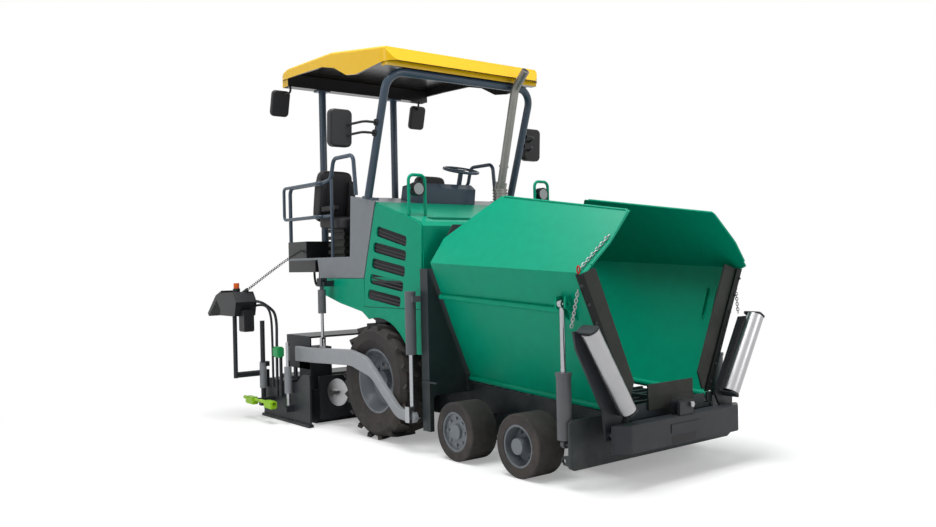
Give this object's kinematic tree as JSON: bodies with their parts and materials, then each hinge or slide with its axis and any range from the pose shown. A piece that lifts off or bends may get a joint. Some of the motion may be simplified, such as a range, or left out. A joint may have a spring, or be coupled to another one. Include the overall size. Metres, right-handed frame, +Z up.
{
  "type": "wheeled asphalt paver",
  "caption": "Compact wheeled asphalt paver with tipping hopper wings, push rollers, roofed operator platform and an extending, towed floating screed.",
  "frame": {"origin": "on the ground under the middle of the machine", "axes": "+X towards the hopper, the direction of travel, +Y to the left side, +Z up"},
  "size_m": [5.042, 2.99, 3.567],
  "materials": {
    "green_paint": "semi-gloss",
    "grey_paint": "satin",
    "light_grey_paint": "satin",
    "dark_paint": "satin",
    "slate_paint": "satin",
    "yellow_roof": "gloss",
    "tyre": "matt",
    "rubber": "matt",
    "steel": "bare",
    "rod_chrome": "polished",
    "black_plastic": "matt",
    "seat_cover": "matt vinyl",
    "engine_iron": "painted",
    "exhaust_steel": "heat stained"
  },
  "bodies": {
    "chassis": {"chassis_frame": "dark_paint", "engine_block": "engine_iron", "hood": "green_paint", "fenders": "green_paint", "platform": "light_grey_paint", "dashboard": "slate_paint", "seats": "seat_cover", "handrails": "slate_paint", "canopy_posts": "slate_paint", "canopy": "yellow_roof", "exhaust": "exhaust_steel", "mirrors": "black_plastic", "headlamps": "black_plastic", "push_beam": "grey_paint", "tow_coupling": "steel", "conveyors": "dark_paint", "front_flap": "rubber", "bogie_beams": "dark_paint", "rear_axle": "dark_paint", "levelling_barrels": "grey_paint", "tow_points": "rod_chrome", "hose_loop": "rubber"},
    "rear_wheel_right": {"rear_tyre_right": "tyre", "rear_rim_right": "light_grey_paint"},
    "door_right": {"side_door_right": "green_paint"},
    "knuckle_leading_right": {"knuckle_leading_right": "dark_paint"},
    "wheel_leading_right": {"front_tyre_leading_right": "tyre", "front_rim_leading_right": "light_grey_paint"},
    "knuckle_trailing_right": {"knuckle_trailing_right": "dark_paint"},
    "wheel_trailing_right": {"front_tyre_trailing_right": "tyre", "front_rim_trailing_right": "light_grey_paint"},
    "wing_right": {"wing_right": "green_paint", "apron_right": "rubber"},
    "hopper_barrel_right": {"hopper_barrel_right": "grey_paint"},
    "hopper_rod_right": {"hopper_rod_right": "rod_chrome"},
    "roller_arm_right": {"roller_arm_right": "grey_paint"},
    "roller_right": {"roller_right": "steel"},
    "extension_right": {"extension_right": "grey_paint", "curly_lead": "rubber"},
    "rear_wheel_left": {"rear_tyre_left": "tyre", "rear_rim_left": "light_grey_paint"},
    "door_left": {"side_door_left": "green_paint"},
    "knuckle_leading_left": {"knuckle_leading_left": "dark_paint"},
    "wheel_leading_left": {"front_tyre_leading_left": "tyre", "front_rim_leading_left": "light_grey_paint"},
    "knuckle_trailing_left": {"knuckle_trailing_left": "dark_paint"},
    "wheel_trailing_left": {"front_tyre_trailing_left": "tyre", "front_rim_trailing_left": "light_grey_paint"},
    "wing_left": {"wing_left": "green_paint", "apron_left": "rubber"},
    "hopper_barrel_left": {"hopper_barrel_left": "grey_paint"},
    "hopper_rod_left": {"hopper_rod_left": "rod_chrome"},
    "roller_arm_left": {"roller_arm_left": "grey_paint"},
    "roller_left": {"roller_left": "steel"},
    "extension_left": {"extension_left": "grey_paint"},
    "augers": {"augers": "steel"},
    "screed": {"tow_arms": "light_grey_paint", "screed_base": "grey_paint"},
    "lift_barrels": {"lift_barrels": "grey_paint"},
    "lift_rods": {"lift_rods": "rod_chrome"}
  },
  "joints": [
    {"name": "rear_wheel_right_spin", "type": "hinge", "parent": "chassis", "child": "rear_wheel_right", "pos_m": [-0.1915, -0.747, 0.513], "axis": [0, 1, 0], "continuous": true},
    {"name": "door_right_open", "type": "hinge", "parent": "chassis", "child": "door_right", "pos_m": [-0.1835, -0.85, 2.092], "axis": [-0.9557, 0, 0.2943], "range_deg": [0, 75]},
    {"name": "steer_leading_right", "type": "hinge", "parent": "chassis", "child": "knuckle_leading_right", "pos_m": [1.7315, -0.64, 0.23], "axis": [0, 0, 1], "range_deg": [-20, 20]},
    {"name": "wheel_leading_right_spin", "type": "hinge", "parent": "knuckle_leading_right", "child": "wheel_leading_right", "pos_m": [1.7315, -0.797, 0.23], "axis": [0, 1, 0], "continuous": true},
    {"name": "steer_trailing_right", "type": "hinge", "parent": "chassis", "child": "knuckle_trailing_right", "pos_m": [0.9955, -0.64, 0.23], "axis": [0, 0, 1], "range_deg": [-13, 13]},
    {"name": "wheel_trailing_right_spin", "type": "hinge", "parent": "knuckle_trailing_right", "child": "wheel_trailing_right", "pos_m": [0.9955, -0.797, 0.23], "axis": [0, 1, 0], "continuous": true},
    {"name": "wing_right_open", "type": "hinge", "parent": "chassis", "child": "wing_right", "pos_m": [0.6935, -0.5, 0.589], "axis": [0.9987, 0, -0.0519], "range_deg": [0, 48]},
    {"name": "hopper_barrel_right_tilt", "type": "hinge", "parent": "chassis", "child": "hopper_barrel_right", "pos_m": [2.1385, -0.85, 0.3], "axis": [1, 0, 0], "range_deg": [0, 45]},
    {"name": "hopper_rod_right_slide", "type": "slide", "parent": "hopper_barrel_right", "child": "hopper_rod_right", "axis": [0, 0, -1], "range_m": [0, 0.335]},
    {"name": "roller_arm_right_fold", "type": "hinge", "parent": "chassis", "child": "roller_arm_right", "pos_m": [2.3685, -0.655, 0.365], "axis": [1, 0, 0], "range_deg": [0, 58]},
    {"name": "roller_right_spin", "type": "hinge", "parent": "roller_arm_right", "child": "roller_right", "pos_m": [2.4585, -0.74628, 0.80625], "axis": [0, -0.5269, 0.8499], "continuous": true},
    {"name": "extension_right_slide", "type": "slide", "parent": "screed", "child": "extension_right", "axis": [0, -1, 0], "range_m": [0, 0.775]},
    {"name": "rear_wheel_left_spin", "type": "hinge", "parent": "chassis", "child": "rear_wheel_left", "pos_m": [-0.1915, 0.747, 0.513], "axis": [0, 1, 0], "continuous": true},
    {"name": "door_left_open", "type": "hinge", "parent": "chassis", "child": "door_left", "pos_m": [-0.1835, 0.85, 2.092], "axis": [0.9557, 0, -0.2943], "range_deg": [0, 75]},
    {"name": "steer_leading_left", "type": "hinge", "parent": "chassis", "child": "knuckle_leading_left", "pos_m": [1.7315, 0.64, 0.23], "axis": [0, 0, 1], "range_deg": [-20, 20]},
    {"name": "wheel_leading_left_spin", "type": "hinge", "parent": "knuckle_leading_left", "child": "wheel_leading_left", "pos_m": [1.7315, 0.797, 0.23], "axis": [0, 1, 0], "continuous": true},
    {"name": "steer_trailing_left", "type": "hinge", "parent": "chassis", "child": "knuckle_trailing_left", "pos_m": [0.9955, 0.64, 0.23], "axis": [0, 0, 1], "range_deg": [-13, 13]},
    {"name": "wheel_trailing_left_spin", "type": "hinge", "parent": "knuckle_trailing_left", "child": "wheel_trailing_left", "pos_m": [0.9955, 0.797, 0.23], "axis": [0, 1, 0], "continuous": true},
    {"name": "wing_left_open", "type": "hinge", "parent": "chassis", "child": "wing_left", "pos_m": [0.6935, 0.5, 0.589], "axis": [-0.9987, 0, 0.0519], "range_deg": [0, 48]},
    {"name": "hopper_barrel_left_tilt", "type": "hinge", "parent": "chassis", "child": "hopper_barrel_left", "pos_m": [2.1385, 0.85, 0.3], "axis": [-1, 0, 0], "range_deg": [0, 45]},
    {"name": "hopper_rod_left_slide", "type": "slide", "parent": "hopper_barrel_left", "child": "hopper_rod_left", "axis": [0, 0, -1], "range_m": [0, 0.335]},
    {"name": "roller_arm_left_fold", "type": "hinge", "parent": "chassis", "child": "roller_arm_left", "pos_m": [2.3685, 0.655, 0.365], "axis": [-1, 0, 0], "range_deg": [0, 58]},
    {"name": "roller_left_spin", "type": "hinge", "parent": "roller_arm_left", "child": "roller_left", "pos_m": [2.4585, 0.74628, 0.80625], "axis": [0, 0.5269, 0.8499], "continuous": true},
    {"name": "extension_left_slide", "type": "slide", "parent": "screed", "child": "extension_left", "axis": [0, 1, 0], "range_m": [0, 0.775]},
    {"name": "augers_spin", "type": "hinge", "parent": "chassis", "child": "augers", "pos_m": [-0.9515, 0, 0.33], "axis": [0, 1, 0], "continuous": true},
    {"name": "screed_lift", "type": "hinge", "parent": "chassis", "child": "screed", "pos_m": [0.4885, 0, 0.288], "axis": [0, 1, 0], "range_deg": [0, 8]},
    {"name": "lift_barrels_tilt", "type": "hinge", "parent": "chassis", "child": "lift_barrels", "pos_m": [-0.9915, 0, 1.375], "axis": [0, 1, 0], "range_deg": [-13, 0]},
    {"name": "lift_rods_slide", "type": "slide", "parent": "lift_barrels", "child": "lift_rods", "axis": [0, 0, 1], "range_m": [0, 0.193]}
  ],
  "couplings": [
    {"joint": "hopper_barrel_right_tilt", "follows": "wing_right_open", "ratio": 0.925},
    {"joint": "hopper_rod_right_slide", "follows": "wing_right_open", "m_per_rad": 0.394},
    {"joint": "hopper_barrel_left_tilt", "follows": "wing_left_open", "ratio": 0.925},
    {"joint": "hopper_rod_left_slide", "follows": "wing_left_open", "m_per_rad": 0.394},
    {"joint": "steer_leading_left", "follows": "steer_leading_right", "ratio": 1},
    {"joint": "steer_trailing_right", "follows": "steer_leading_right", "ratio": 0.65},
    {"joint": "steer_trailing_left", "follows": "steer_leading_right", "ratio": 0.65},
    {"joint": "lift_barrels_tilt", "follows": "screed_lift", "ratio": -1.6125},
    {"joint": "lift_rods_slide", "follows": "screed_lift", "m_per_rad": 1.37}
  ]
}
